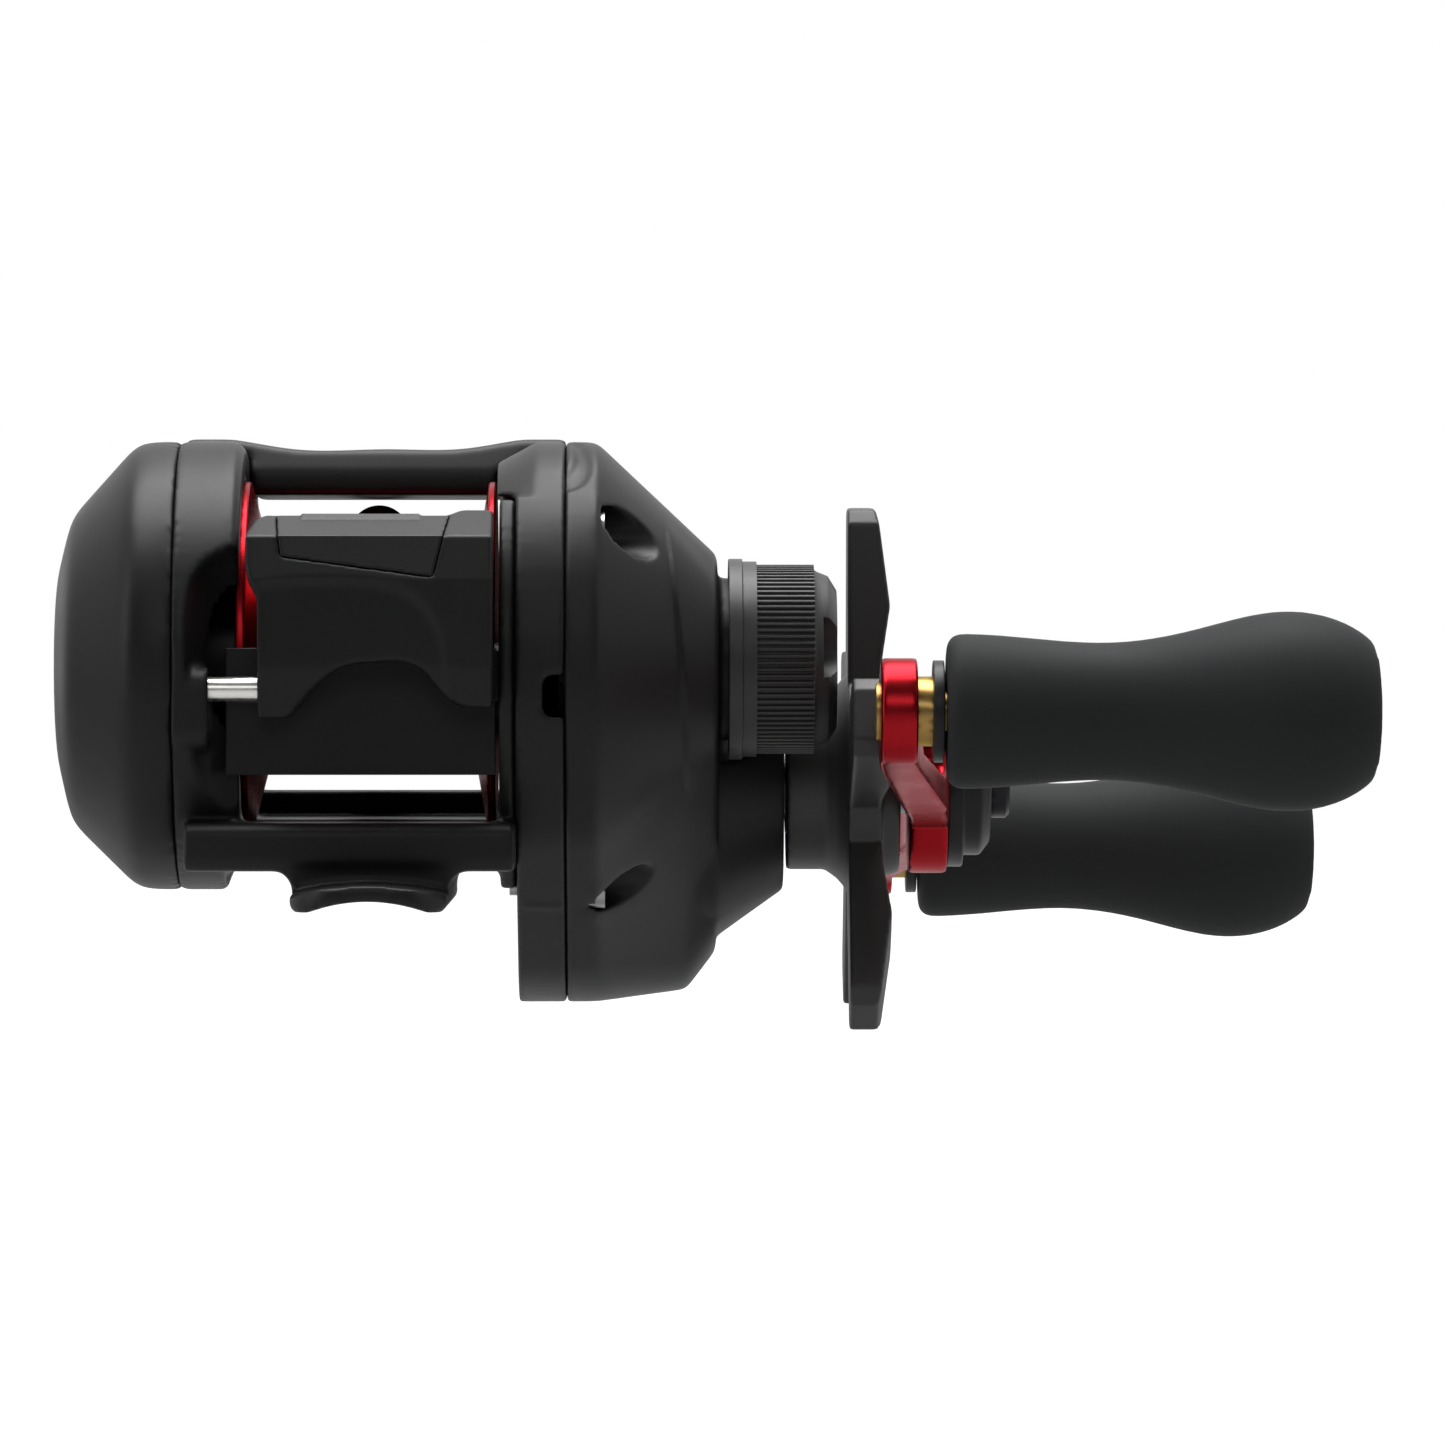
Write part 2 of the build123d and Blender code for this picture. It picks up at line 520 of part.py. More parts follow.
def clutch_plate():
    """Plate that the slide plate pulls down; its two ramps push the yoke outwards."""
    plate = block(LIFTER, (-14.0, 8.0), (16.5, 31.5)) + block(LIFTER, (SLIDE_Y[0], -13.5), TAB_Z)
    slot = SlotCenterToCenter(CLUTCH_TRAVEL, 7.0, rotation=90)
    plate -= side(Pos(SPOOL[0], SPOOL[1] + CLUTCH_TRAVEL / 2) * slot, 14, 16)
    base, low, high = SPOOL[1], LIFTER[1], LIFTER[1] + PINION_TRAVEL
    wedge = make_face(Polyline((low, base), (high, base + CLUTCH_TRAVEL), (high, base + CLUTCH_TRAVEL + 1),
                               (low, base + CLUTCH_TRAVEL + 1), close=True))
    for y in (-4.0, 4.0):
        plate += along_y(wedge, y - 0.6, y + 0.6)
    for y, z in yoke_posts():
        for drop in (0.0, -CLUTCH_TRAVEL):
            plate -= rod(1.3, 14, 16, (y, z - drop))
        plate -= block((14, 16), (y - 1.3, y + 1.3), (z, z + CLUTCH_TRAVEL))
    return plate


# ---- thumb bar ---------------------------------------------------------------------------
def thumb_section(inset=0.0):
    """The thumb bar's outline from the side, hollowed to clear the spool."""
    front, back = SLIDE_Y[0], -21.9 + inset
    points = [(-8, 24.4), (front, 24.4), (front, 17.3), (back, 17.3), (back - 1.3, 22.0), (back - 1.5, 30.0),
              (back - 0.5, 33.9 - inset), (-14.6, 36.3 - inset), (-8, 36.7 - inset)]
    swept = SlotCenterToCenter(CLUTCH_TRAVEL, 2 * (FLANGE_R + 0.45), rotation=90)
    return make_face(Polyline(*points, close=True)) - Pos(SPOOL[0], SPOOL[1] + CLUTCH_TRAVEL / 2) * swept


def thumb_front():
    """The thumb bar's outline from behind, with the arch between its two legs."""
    arch = Spline((-7.3, 17.2), (-4.66, 20.4), (-1.95, 22.1), (1.0, 22.42), (3.6, 22.3), (4.95, 21.5),
                  (5.95, 20.3), (7.0, 19.1), (8.0, 18.5), (9.4, 18.3))
    rest = [(-7.3, 17.2), (-10.15, 17.2), (-10.15, 28.2), (-10.9, 29.6), (-11.2, 31.3), (-11.2, 34.0),
            (-10.5, 35.4), (-9.6, 35.8), (6.9, 35.8), (8.6, 36.5), (11.1, 36.5), (11.1, 18.3), (9.4, 18.3)]
    return make_face([arch] + [Line(a, b) for a, b in zip(rest, rest[1:])])


def thumb_solid():
    return side(thumb_section(), -12, 12) & along_y(thumb_front(), -30, -5)


def pad_solid():
    outline = make_face(Polyline((-8.9, 37.5), (-8.0, 32.0), (5.7, 30.15), (7.5, 37.5), close=True))
    skin = side(thumb_section(), -12, 12) - side(thumb_section(1.1), -13, 13)
    pad = skin & along_y(outline, -30, -15.2)
    ribs = [block((-6.3, 4.4), (y - 0.16, y + 0.16), (33.5, 37.0)) for y in (-16.4, -17.2)]
    raised = side(thumb_section(-0.18), -12, 12) - side(thumb_section(0.5), -13, 13)
    return pad & along_y(thumb_front(), -30, -5), [raised & rib for rib in ribs]


def clutch_bar():
    pad, _ = pad_solid()
    pin = rod(PIN_R, -12.0, -8.2, (PIN_Y, PIN_Z))
    return thumb_solid() - pad - pin


def clutch_bar_pad():
    pad, ribs = pad_solid()
    for rib in ribs:
        pad += rib
    return pad


# ---- crank body --------------------------------------------------------------------------
def in_crank():
    """Turns a piece made with the handle lying straight back into its place."""
    return Pos(0, DRIVE[0], DRIVE[1]) * Rot(HANDLE_TILT, 0, 0)


def handle_arm():
    """Flat arm swept inwards from the hub to both knobs."""
    end = CRANK + 4.8
    (a, b), (c, d) = ARM_END, ARM_HUB
    outer = [(-end, a), (-end, b), (-37.0, b), (-15.0, d)]
    inner = [(12.0, c), (-12.0, c), (-36.0, a)]
    edge = outer + [(-y, x) for y, x in reversed(outer)] + [(36.0, a)] + inner
    profile = make_face(Polyline(*[(x, y) for y, x in edge], close=True))
    arm = extrude(Plane.XY.offset(-12) * profile, amount=24)
    plan = Circle(8.6)
    for s in (-1, 1):
        plan += Pos(s * CRANK, 0) * Circle(4.8)
        plan += make_face(Polyline((0, -5.6), (s * CRANK, -3.9), (s * CRANK, 3.9), (0, 5.6), close=True))
        plan -= Pos(s * 23.5, 0) * SlotCenterToCenter(13.0, 3.6)
    arm &= side(plan, a - 1, d + 1)
    arm -= rod(3.0, a - 1, d + 1, (0, 0))
    for s in (-1, 1):
        arm -= rod(2.0, a - 1, d + 1, (s * CRANK, 0))
    return in_crank() * arm


def knob_shafts():
    """Two knob shafts riveted in the arm, each with its collar."""
    points = [(45.6, 0), (45.6, 2.6), (46.1, 2.6), (46.1, 2.0), (49.2, 2.0), (49.2, 3.15), (50.7, 3.15),
              (50.7, KNOB_PIN_R), (84.7, KNOB_PIN_R), (84.7, 3.2), (85.7, 3.2), (85.7, 0)]
    return group([in_crank() * turned(points, (s * CRANK, 0)) for s in (-1, 1)])


def knob_collars():
    shape = [tube(4.6, KNOB_PIN_R, 50.7, 51.7, (s * CRANK, 0)) for s in (-1, 1)]
    return group([in_crank() * c for c in shape])


def knob_at(s):
    """Centre of a knob, as (y, z): s is -1 for the near one and 1 for the far one."""
    tilt = HANDLE_TILT * pi / 180
    return (DRIVE[0] + s * CRANK * cos(tilt), DRIVE[1] + s * CRANK * sin(tilt))


def knob_grip(s):
    """Rubber grip, waisted near the arm and full at its end, slightly flat from front to back."""
    line = Spline((52.7, 7.0), (59, 6.65), (66.4, 6.2), (74, 7.3), (82.6, 9.0), (88.4, 7.6), (90.6, 5.9))
    ends = [(90.6, 5.9), (KNOB[1], 4.9), (KNOB[1], 0), (KNOB[0], 0), (KNOB[0], 6.2), (52.7, 7.0)]
    edges = [line] + [Line(a, b) for a, b in zip(ends, ends[1:])]
    grip = scale(revolve(make_face(edges), Axis.X, 360), by=(1, 0.92, 1))
    grip -= rod(KNOB_PIN_R + 0.05, KNOB[0] - 1, 84.4, (0, 0))
    grip -= Pos(84.4, 0, 0) * Rot(0, 90, 0) * extrude(Ellipse(4.7, 4.1), amount=10)
    bevel = Pos(KNOB[1] - 0.9, 0, 0) * Rot(0, 0, 7.0) * block((0, 8), (-12, 12), (-12, 12))
    y, z = knob_at(s)
    return Pos(0, y, z) * (grip - bevel)


def knob_cap(s):
    y, z = knob_at(s)
    return Pos(86.0, y, z) * Rot(0, 90, 0) * extrude(Ellipse(4.7, 4.1), amount=1.4)


def handle_nut():
    hexagon = Pos(*DRIVE) * RegularPolygon(5.0, 6)
    return side(hexagon, ARM_HUB[1], 55.6) - rod(3.0, 50, 60, DRIVE)


def nut_retainer():
    """Cap over the handle nut, stepped and domed."""
    cap = turned([(ARM_HUB[1], 0), (ARM_HUB[1], 8.0), (54.8, 8.0), (54.8, 6.9), (56.4, 6.9), (57.4, 5.6),
                  (57.4, 0)], DRIVE)
    hexagon = Pos(*DRIVE) * RegularPolygon(5.0, 6)
    return cap - side(hexagon, 50, 55.6) - rod(3.0, 50, 56.0, DRIVE) - rod(0.9, 50, 60, DRIVE)


def retainer_screw():
    head = rod(3.4, 57.4, 59.2, DRIVE) - side(Pos(*DRIVE) * Rectangle(5.0, 0.9), 58.5, 60)
    rim = head.edges().group_by(Axis.X)[-1].filter_by(GeomType.CIRCLE)
    return chamfer(rim, 0.35) + rod(0.9, 52, 57.4, DRIVE)


def star_outline():
    """Five tapering arms round a hub, filleted where they meet."""
    plan = Circle(10.6)
    for i in range(5):
        corners = [(0, -5.4), (STAR_R - 1.2, -3.7), (STAR_R, -2.4), (STAR_R, 2.4), (STAR_R - 1.2, 3.7), (0, 5.4)]
        plan += Rot(0, 0, 90 + 3.5 + 72 * i) * make_face(Polyline(*corners, close=True))
    return plan


def star_drag():
    """Five-armed drag wheel with a flared hub."""
    arms = side(Pos(*DRIVE) * star_outline(), 43.8, 48.9)
    arms &= turned([(43.9, 0), (43.9, 26.5), (45.8, 26.5), (46.6, 25.6), (46.9, 24.6), (47.9, 17.2),
                    (47.2, 12.8), (46.9, 9.0), (48.8, 8.5), (48.8, 0)], DRIVE)
    hub = turned([(38.2, 0), (38.2, 8.25), (41.8, 8.25), (43.0, 9.1), (43.9, 10.2), (44.5, 10.2),
                  (44.5, 0)], DRIVE)
    return arms + hub - rod(5.2, 38, 39.4, DRIVE) - rod(5.0, 39, 43.2, DRIVE) - rod(3.3, 39, 49, DRIVE)


# ---- cast control ------------------------------------------------------------------------
def cast_control_cap():
    """Knurled screw cap over the end of the spool shaft."""
    cap = turned([(33.9, 0), (33.9, 9.05), (35.2, 9.05), (35.2, 8.35), (40.5, 8.35), (40.5, 8.3),
                  (40.8, 8.1), (41.8, 7.7), (42.6, 6.4), (42.6, 0)])
    ribs, points = 90, []
    for i in range(ribs):
        for radius, share in ((8.5, 0.0), (8.5, 0.3), (8.76, 0.45), (8.76, 0.8)):
            angle = 2 * pi * (i + share) / ribs
            points.append((radius * cos(angle), radius * sin(angle)))
    cap += side(Pos(*SPOOL) * make_face(Polyline(*points, close=True)), 35.2, 40.5)
    for i in range(3):
        angle = 2 * pi * i / 3 + 0.9
        cap -= rod(3.0, 41.3, 43, (SPOOL[0] + 8.4 * cos(angle), SPOOL[1] + 8.4 * sin(angle)))
    return cap - rod(7.0 + RUN, 33, 39.1)


# ---- line guide --------------------------------------------------------------------------
def line_guide():
    """Carriage on the level wind tube and the guide rod, with the upright eye."""
    x = (-3.2, 2.6)
    middle = (x[0] + x[1]) / 2
    base = hull((WORM[0], 19.0, 4.9), (WORM[0], WORM[1] + 0.6, 4.9)) + hull(
        (GUIDE_ROD[0], GUIDE_ROD[1], 2.3), (WORM[0], 17.0, 3.6), (WORM[0] - 1, 19.0, 3.6))
    carriage = side(base, *x)
    front = Pos(middle, 29.0) * SlotCenterToCenter(11.2, x[1] - x[0], rotation=90)
    upright = along_y(front, 23.2, 27.8)
    guide = carriage + upright
    guide -= rod(3.6 + 0.08, x[0] - 1, x[1] + 1, WORM) + rod(1.12, x[0] - 1, x[1] + 1, GUIDE_ROD)
    guide -= Pos(middle, WORM[0], 12) * Cylinder(1.6, 8, align=(Align.CENTER, Align.CENTER, Align.MIN))
    return guide - along_y(Pos(middle, 30.9) * Ellipse(2.2, 4.0), 20, 30)


def line_guide_insert():
    middle = -0.3
    ring = Ellipse(2.2, 4.0) - Ellipse(1.45, 3.25)
    return along_y(Pos(middle, 30.9) * ring, 22.9, 28.1)


def guide_pawl():
    """Pawl under the worm, with the blade that follows its groove."""
    post = Pos(-0.3, WORM[0], 13.7) * Cylinder(1.55, 4.1, align=(Align.CENTER, Align.CENTER, Align.MIN))
    return post + block((-1.3, 0.7), (WORM[0] - 0.4, WORM[0] + 0.4), (17.7, 18.6))


def worm_shaft():
    return turned([(-15.4, 0), (-15.4, 1.5), (-11.2, 1.5), (-11.2, 2.75), (11.4, 2.75), (11.4, 1.5),
                   (18.9, 1.5), (18.9, 0)], WORM)


# ---- every node --------------------------------------------------------------------------
NODES = {
    "reel_frame": reel_frame,
    "top_hood": top_hood,
    "gear_side_plate": gear_side_plate,
    "gear_cover": gear_cover,
    "cover_screws": cover_screws,
    "roller_clutch": roller_clutch,
    "drive_shaft_bearing": lambda: bearing(5.5, 3.0 + RUN, 12.2, 14.4, DRIVE),
    "pinion_bearing": lambda: bearing(5.0, 2.1 + RUN, 27.6, 29.3, SPOOL),
    "spool_bearing_right": lambda: bearing(4.5, SHAFT_R + RUN, 35.0, 37.4, SPOOL),
    "yoke_springs": yoke_springs,
    "level_wind_tube": level_wind_tube,
    "worm_bushings": worm_bushings,
    "guide_rod": lambda: rod(1.05, -15.4, WALL_RIGHT + 0.8, GUIDE_ROD),
    "palm_side_cover": palm_side_cover,
    "brake_case": brake_case,
    "spool_bearing_left": lambda: bearing(4.5, SHAFT_R + RUN, -21.8, -19.4, SPOOL),
    "release_lever": release_lever,
    "spool": spool,
    "spool_shaft": spool_shaft,
    "brake_hub": brake_hub,
    "pinion_gear": pinion_gear,
    "pinion_yoke": pinion_yoke,
    "drive_shaft": drive_shaft,
    "drive_gear": drive_gear,
    "drag_washer": lambda: tube(14.3, 3.0 + RUN, 21.5, 22.2, DRIVE),
    "drag_pressure_plate": drag_pressure_plate,
    "ratchet_wheel": ratchet_wheel,
    "anti_reverse_pawl": anti_reverse_pawl,
    "level_wind_drive_gear": level_wind_drive_gear,
    "clutch_sleeve": lambda: tube(4.7, 3.0 + RUN, 23.9, 38.0, DRIVE),
    "handle_arm": handle_arm,
    "knob_shafts": knob_shafts,
    "knob_collars": knob_collars,
    "handle_nut": handle_nut,
    "nut_retainer": nut_retainer,
    "retainer_screw": retainer_screw,
    "knob_grip_near": lambda: knob_grip(-1),
    "knob_cap_near": lambda: knob_cap(-1),
    "knob_grip_far": lambda: knob_grip(1),
    "knob_cap_far": lambda: knob_cap(1),
    "drag_spring_washer": lambda: tube(4.9, 3.0 + RUN, 38.1, 39.3, DRIVE),
    "star_nut": lambda: tube(5.0, 3.0 + RUN, 39.4, 43.2, DRIVE),
    "star_drag": star_drag,
    "worm_shaft": worm_shaft,
    "worm_gear": worm_gear,
    "line_guide": line_guide,
    "line_guide_insert": line_guide_insert,
    "guide_pawl": guide_pawl,
    "clutch_bar": clutch_bar,
    "clutch_bar_pad": clutch_bar_pad,
    "clutch_slide_plate": clutch_slide_plate,
    "clutch_guide_pin": lambda: rod(PIN_R, -16.8, -8.2, (PIN_Y, PIN_Z)),
    "clutch_plate": clutch_plate,
    "cast_control_cap": cast_control_cap,
    "cast_control_ring": lambda: tube(9.3, 7.5 + RUN, 32.6, 33.9),
    "tension_shim": lambda: rod(6.6, 38.45, 39.05),
}
for shoe in range(4):
    NODES[f"brake_shoe_{shoe + 1}"] = lambda i=shoe: brake_shoe(i)

if __name__ == "__main__":
    os.makedirs("parts", exist_ok=True)
    for name, make in NODES.items():
        export_step(make(), f"parts/{name}.step")
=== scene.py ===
import json
from math import radians

import bpy
import numpy as np
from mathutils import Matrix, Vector

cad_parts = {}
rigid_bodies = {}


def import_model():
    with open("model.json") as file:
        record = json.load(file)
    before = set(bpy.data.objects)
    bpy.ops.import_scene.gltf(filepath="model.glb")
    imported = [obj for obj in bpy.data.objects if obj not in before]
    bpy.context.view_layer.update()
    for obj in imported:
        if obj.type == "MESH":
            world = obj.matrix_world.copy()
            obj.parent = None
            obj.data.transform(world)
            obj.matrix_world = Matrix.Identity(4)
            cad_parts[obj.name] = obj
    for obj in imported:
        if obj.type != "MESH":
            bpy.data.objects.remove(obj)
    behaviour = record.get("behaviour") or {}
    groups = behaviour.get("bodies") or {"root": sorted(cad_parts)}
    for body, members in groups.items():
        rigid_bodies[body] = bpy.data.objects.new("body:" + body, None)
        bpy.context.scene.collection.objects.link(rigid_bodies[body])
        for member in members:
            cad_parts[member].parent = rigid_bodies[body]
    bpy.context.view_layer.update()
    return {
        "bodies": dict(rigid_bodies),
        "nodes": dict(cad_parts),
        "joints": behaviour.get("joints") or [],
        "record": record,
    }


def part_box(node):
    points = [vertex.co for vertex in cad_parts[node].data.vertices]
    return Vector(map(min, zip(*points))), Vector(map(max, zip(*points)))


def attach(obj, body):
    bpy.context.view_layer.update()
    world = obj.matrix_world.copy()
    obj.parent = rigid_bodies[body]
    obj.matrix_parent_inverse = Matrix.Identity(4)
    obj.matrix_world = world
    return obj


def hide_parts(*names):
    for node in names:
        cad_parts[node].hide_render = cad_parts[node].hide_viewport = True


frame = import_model()
nodes = frame["nodes"]
joints = {j["name"]: j for j in frame["joints"]}
body_of = {name: body for body, empty in frame["bodies"].items()
           for name, node in nodes.items() if node.parent == empty}
slot_of = {s["node"]: s["material_slot"] for s in frame["record"]["subparts"]}
MM = 0.001
WELD_DISTANCE = 1e-6        # metres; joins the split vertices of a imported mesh


# ---- places, from the frame, in millimetres ----------------------------------------------
def axis_of(joint):
    """A hinge's axis as (y, z)."""
    return joints[joint]["pos_m"][1] / MM, joints[joint]["pos_m"][2] / MM


def box(node):
    """A CAD node's lowest and highest corners."""
    low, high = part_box(node)
    return [v / MM for v in low], [v / MM for v in high]


SPOOL = axis_of("spool_spin")
DRIVE = axis_of("crank_turn")
SEAM_LEFT = box("palm_side_cover")[1][0]
SEAM_RIGHT = box("gear_cover")[0][0]
COVER_SCREWS = [(-12.9, 34.3), (-3.1, 1.75), (28.5, 33.0)]    # (y, z) of each screw's recess


# ---- materials ---------------------------------------------------------------------------
NOISE_RANGE = (0.3, 0.7)                # where most of a noise texture's values lie
CLOUD_SCALE = 90.0                      # the slow variation across a moulding
METAL_CLOUD_SCALE = (160.0, 200.0)      # the same on turned and on blasted metal
RING_SCALE = 1 / 0.00012 / 6.28         # wave texture scale for rings about 0.24 mm apart
CLOTH_SCALE = 300.0
GRAIN_BUMP, METAL_BUMP, RING_BUMP, CLOTH_BUMP = 0.35, 0.3, 0.25, 0.5


def new_material(name, colour, roughness, metallic=0.0):
    """A material, its node tree and its shader."""
    made = bpy.data.materials.new(name)
    made.use_nodes = True
    tree = made.node_tree
    shader = tree.nodes["Principled BSDF"]
    shader.inputs["Base Color"].default_value = (*colour, 1)
    shader.inputs["Roughness"].default_value = roughness
    shader.inputs["Metallic"].default_value = metallic
    return made, tree, shader


def texture(tree, kind, scale, **inputs):
    """A 3D texture on the object's own coordinates, in metres."""
    where = tree.nodes.new("ShaderNodeTexCoord")
    node = tree.nodes.new(kind)
    tree.links.new(where.outputs["Object"], node.inputs["Vector"])
    node.inputs["Scale"].default_value = scale
    for name, value in inputs.items():
        node.inputs[name].default_value = value
    return node


def vary(tree, shader, socket, source, low, high):
    """Drives a shader socket with a texture, from low to high."""
    ramp = tree.nodes.new("ShaderNodeMapRange")
    ramp.inputs["From Min"].default_value, ramp.inputs["From Max"].default_value = NOISE_RANGE
    ramp.inputs["To Min"].default_value = low
    ramp.inputs["To Max"].default_value = high
    tree.links.new(source, ramp.inputs["Value"])
    tree.links.new(ramp.outputs["Result"], shader.inputs[socket])


def tint(tree, shader, source, first, second):
    """Mixes two colours by a texture."""
    mix = tree.nodes.new("ShaderNodeMix")
    mix.data_type = "RGBA"
    mix.inputs["A"].default_value = (*first, 1)
    mix.inputs["B"].default_value = (*second, 1)
    tree.links.new(source, mix.inputs["Factor"])
    tree.links.new(mix.outputs["Result"], shader.inputs["Base Color"])


def bump(tree, shader, source, strength, depth):
    """Fine relief from a texture, depth in metres."""
    node = tree.nodes.new("ShaderNodeBump")
    node.inputs["Strength"].default_value = strength
    node.inputs["Distance"].default_value = depth
    tree.links.new(source, node.inputs["Height"])
    tree.links.new(node.outputs["Normal"], shader.inputs["Normal"])


def moulding(name, dark, light, roughness, grain, depth, specular=0.25):
    """Moulded plastic or rubber: a fine grain, with the faint cloudiness of handled plastic."""
    made, tree, shader = new_material(name, dark, roughness)
    shader.inputs["Specular IOR Level"].default_value = specular
    cloud = texture(tree, "ShaderNodeTexNoise", CLOUD_SCALE, Detail=3.0)
    tint(tree, shader, cloud.outputs["Fac"], dark, light)
    vary(tree, shader, "Roughness", cloud.outputs["Fac"], roughness - 0.04, roughness + 0.04)
    fine = texture(tree, "ShaderNodeTexNoise", grain, Detail=2.0)
    bump(tree, shader, fine.outputs["Fac"], GRAIN_BUMP, depth)
    return made


def turned_metal(name, colour, second, roughness, depth=0.000004, edge=(1, 1, 1)):
    """Metal turned on a lathe about an axis along X: fine rings, a little uneven."""
    made, tree, shader = new_material(name, colour, roughness, 1.0)
    shader.inputs["Specular Tint"].default_value = (*edge, 1)
    cloud = texture(tree, "ShaderNodeTexNoise", METAL_CLOUD_SCALE[0], Detail=3.0)
    tint(tree, shader, cloud.outputs["Fac"], colour, second)
    vary(tree, shader, "Roughness", cloud.outputs["Fac"], roughness - 0.03, roughness + 0.05)
    rings = texture(tree, "ShaderNodeTexWave", RING_SCALE, Distortion=1.5, Detail=1.0)
    rings.bands_direction = "X"
    bump(tree, shader, rings.outputs["Fac"], RING_BUMP, depth)
    return made


def cast_metal(name, colour, second, roughness, grain, depth, metallic=1.0, edge=(1, 1, 1)):
    """Metal with a fine blasted surface."""
    made, tree, shader = new_material(name, colour, roughness, metallic)
    shader.inputs["Specular Tint"].default_value = (*edge, 1)
    cloud = texture(tree, "ShaderNodeTexNoise", METAL_CLOUD_SCALE[1], Detail=3.0)
    tint(tree, shader, cloud.outputs["Fac"], colour, second)
    vary(tree, shader, "Roughness", cloud.outputs["Fac"], roughness - 0.03, roughness + 0.05)
    fine = texture(tree, "ShaderNodeTexNoise", grain, Detail=3.0)
    bump(tree, shader, fine.outputs["Fac"], METAL_BUMP, depth)
    return made


def weave(name, colour, second):
    """Carbon cloth washer: two crossed sets of bands."""
    made, tree, shader = new_material(name, colour, 0.4)
    warp = texture(tree, "ShaderNodeTexWave", CLOTH_SCALE)
    warp.bands_direction = "Y"
    tint(tree, shader, warp.outputs["Fac"], colour, second)
    weft = texture(tree, "ShaderNodeTexWave", CLOTH_SCALE)
    weft.bands_direction = "Z"
    bump(tree, shader, weft.outputs["Fac"], CLOTH_BUMP, 0.00005)
    return made


LOOKS = {
    "matte_black_resin": moulding("matte black resin", (0.0062, 0.0065, 0.0072), (0.0082, 0.0086, 0.0096),
                                  0.44, 5200.0, 0.00002),
    "satin_black_resin": moulding("satin black resin", (0.0075, 0.0075, 0.008), (0.0095, 0.0095, 0.010),
                                  0.38, 7000.0, 0.00001),
    "red_anodised_alloy": cast_metal("red anodised alloy", (0.38, 0.012, 0.018), (0.32, 0.009, 0.014),
                                     0.27, 9000.0, 0.000003, edge=(0.80, 0.66, 0.68)),
    "black_anodised_alloy": cast_metal("black anodised alloy", (0.029, 0.029, 0.0282),
                                       (0.034, 0.034, 0.0332), 0.46, 9000.0, 0.000012, metallic=0.35),
    "steel": turned_metal("machined steel", (0.40, 0.40, 0.41), (0.32, 0.32, 0.33), 0.34),
    "black_steel": turned_metal("blackened steel", (0.02, 0.02, 0.022), (0.03, 0.03, 0.032), 0.38),
    "polished_steel": turned_metal("polished steel", (0.92, 0.91, 0.87), (0.84, 0.83, 0.79), 0.26),
    "brass": turned_metal("turned brass", (0.42, 0.27, 0.095), (0.34, 0.21, 0.065), 0.3,
                          edge=(0.8, 0.7, 0.5)),
    "white_plastic": moulding("white acetal", (0.72, 0.71, 0.67), (0.78, 0.77, 0.73), 0.35, 3000.0, 0.00001),
    "drag_fibre": weave("carbon drag washer", (0.02, 0.02, 0.02), (0.06, 0.06, 0.06)),
    "worm_alloy": turned_metal("hard anodised alloy", (0.5, 0.5, 0.52), (0.42, 0.42, 0.45), 0.3),
    "knob_rubber": moulding("knob rubber", (0.0215, 0.0228, 0.0232), (0.0235, 0.0248, 0.0255),
                            0.62, 6500.0, 0.00002, 0.08),
    "knob_cap_grey": moulding("knob cap grey", (0.09, 0.09, 0.095), (0.12, 0.12, 0.125), 0.35, 4000.0, 0.00001),
    "guide_ring": turned_metal("polished guide ring", (0.6, 0.6, 0.62), (0.5, 0.5, 0.52), 0.12),
}


def paint(obj, slot):
    """Gives an object the look of a material slot, in place of what it has."""
    obj.data.materials.clear()
    obj.data.materials.append(LOOKS[slot])


# ---- mesh helpers ------------------------------------------------------------------------
BEVEL_ANGLE = 32.0          # degrees; an edge sharper than this is broken
FACES_PER_QUAD = 2          # a remeshed quad is thinned as two triangles


def rounded_edges(obj, width):
    """Breaks the sharp edges of a CAD node, which keeps its own vertices."""
    weld = obj.modifiers.new("weld", "WELD")
    weld.merge_threshold = WELD_DISTANCE
    bevel = obj.modifiers.new("edges", "BEVEL")
    bevel.width = width
    bevel.segments = 3
    bevel.limit_method = "ANGLE"
    bevel.angle_limit = radians(BEVEL_ANGLE)
    bevel.use_clamp_overlap = True
    normals = obj.modifiers.new("normals", "WEIGHTED_NORMAL")
    normals.keep_sharp = False
    normals.weight = 100


def through(mesh, *steps):
    """The mesh after some modifiers, each given as (type, settings)."""
    bench = bpy.data.objects.new("bench", mesh)
    bpy.context.scene.collection.objects.link(bench)
    for kind, settings in steps:
        modifier = bench.modifiers.new(kind.lower(), kind)
        for key, value in settings.items():
            setattr(modifier, key, value)
    result = bpy.data.meshes.new_from_object(bench.evaluated_get(bpy.context.evaluated_depsgraph_get()))
    bpy.data.objects.remove(bench)
    return result


def points_of(mesh):
    """A mesh's vertices, in millimetres."""
    flat = np.empty(len(mesh.vertices) * 3)
    mesh.vertices.foreach_get("co", flat)
    return flat.reshape(-1, 3) / MM


def set_points(mesh, points):
    """Moves a mesh's vertices to points in millimetres."""
    mesh.vertices.foreach_set("co", (points * MM).ravel())
    mesh.update()


